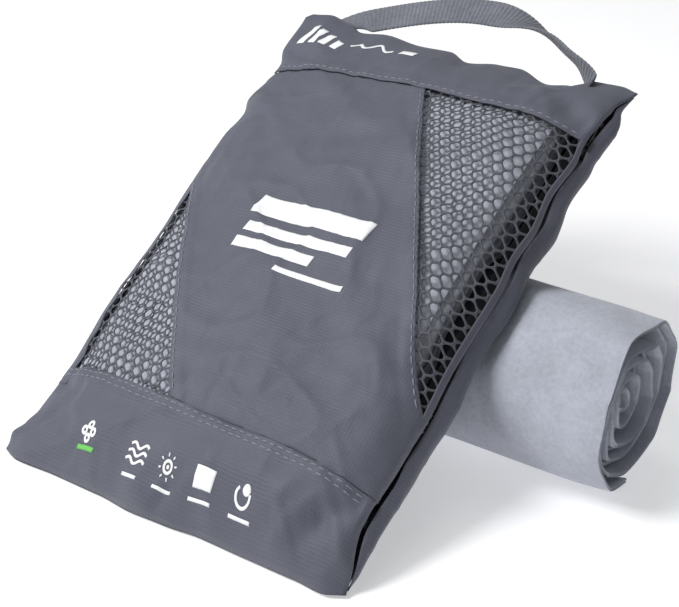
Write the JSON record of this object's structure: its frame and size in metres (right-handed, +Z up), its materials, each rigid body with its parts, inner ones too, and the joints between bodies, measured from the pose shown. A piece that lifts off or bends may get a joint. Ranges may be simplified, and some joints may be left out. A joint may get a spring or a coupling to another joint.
{
  "type": "quick dry towel",
  "caption": "Ripstop zip pouch with net windows and a webbing handle, holding a folded microfibre towel and leaning on the same towel rolled up.",
  "frame": {"origin": "middle of the base of the whole assembly's bounding box, on the surface it stands on", "axes": "+Z up; +X across the pouch towards its zip side and along the rolled towel; +Y from the pouch's bottom edge towards its handle; the pouch's face looks up and towards -Y"},
  "size_m": [0.195, 0.2114, 0.1289],
  "materials": {
    "slate_fabric": "bluish slate ripstop nylon, soft satin sheen",
    "dark_net": "dark grey knitted hexagonal net",
    "webbing_grey": "ribbed grey webbing, matte",
    "zip_black": "black nylon coil and woven tape",
    "gunmetal": "painted die-cast metal, satin",
    "thread_grey": "grey polyester sewing thread",
    "towel_grey": "pale bluish-grey suede microfibre, matte"
  },
  "bodies": {
    "pouch": {"back_panel": "slate_fabric", "front_diagonal_panel": "slate_fabric", "mesh_panel_left": "dark_net", "mesh_panel_right": "dark_net", "top_band": "slate_fabric", "bottom_band": "slate_fabric", "zipper_side_strip": "slate_fabric", "zipper_tape_front": "zip_black", "zipper_tape_back": "zip_black", "zipper_coil_front": "zip_black", "zipper_coil_back": "zip_black", "zipper_top_stop_front": "gunmetal", "zipper_top_stop_back": "gunmetal", "zipper_bottom_stop": "gunmetal", "topstitch_top_band": "thread_grey", "topstitch_bottom_band_upper": "thread_grey", "topstitch_bottom_band_lower": "thread_grey", "topstitch_window_left": "thread_grey", "topstitch_window_right": "thread_grey", "folded_towel": "towel_grey"},
    "handle": {"handle_strap": "webbing_grey"},
    "slider": {"zipper_slider": "gunmetal"},
    "pull": {"zipper_pull": "gunmetal"},
    "roll": {"rolled_towel": "towel_grey"}
  },
  "joints": [
    {"name": "handle_swing", "type": "hinge", "parent": "pouch", "child": "handle", "pos_m": [-0.0225, 0.08387, 0.11158], "axis": [1, 0, 0], "range_deg": [-70, 50]},
    {"name": "zip_run", "type": "slide", "parent": "pouch", "child": "slider", "axis": [0, -0.8652, -0.5015], "range_m": [0, 0.156]},
    {"name": "pull_swing", "type": "hinge", "parent": "slider", "child": "pull", "pos_m": [0.04899, 0.05307, 0.10091], "axis": [0.578, 0.4092, -0.706], "range_deg": [0, 160]},
    {"name": "roll_out", "type": "slide", "parent": "pouch", "child": "roll", "axis": [1, 0, 0], "range_m": [0, 0.16]}
  ]
}
